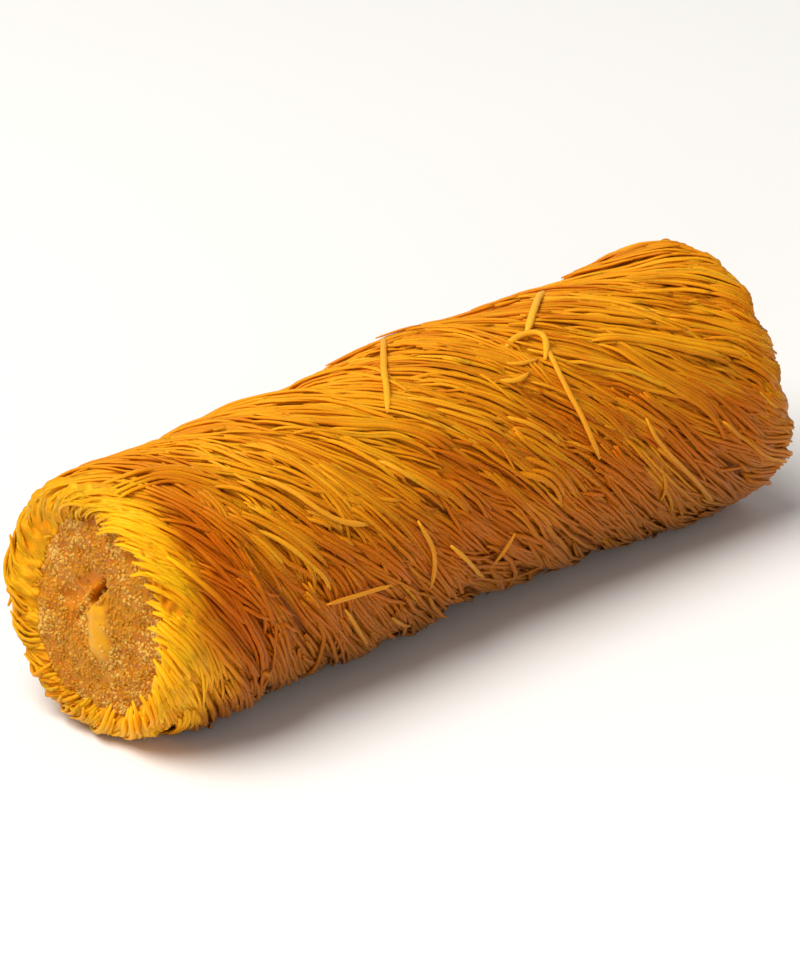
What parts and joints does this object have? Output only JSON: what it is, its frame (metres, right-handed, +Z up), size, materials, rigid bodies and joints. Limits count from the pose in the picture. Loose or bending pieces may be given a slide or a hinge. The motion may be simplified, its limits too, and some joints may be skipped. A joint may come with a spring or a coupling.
{
  "type": "kunafa roll",
  "caption": "Roll of fine shredded pastry wound aslant round a core of pounded nuts that shows at both ends.",
  "frame": {"origin": "under the middle of the roll, on the surface it lies on", "axes": "+X along the roll, from the end whose filling shows in the picture to the other; +Z up"},
  "size_m": [0.0911, 0.0322, 0.0299],
  "materials": {
    "pastry": "satin",
    "nut_filling": "matte"
  },
  "bodies": {
    "root": {"pastry_wrap": "pastry", "filling": "nut_filling"}
  },
  "joints": []
}
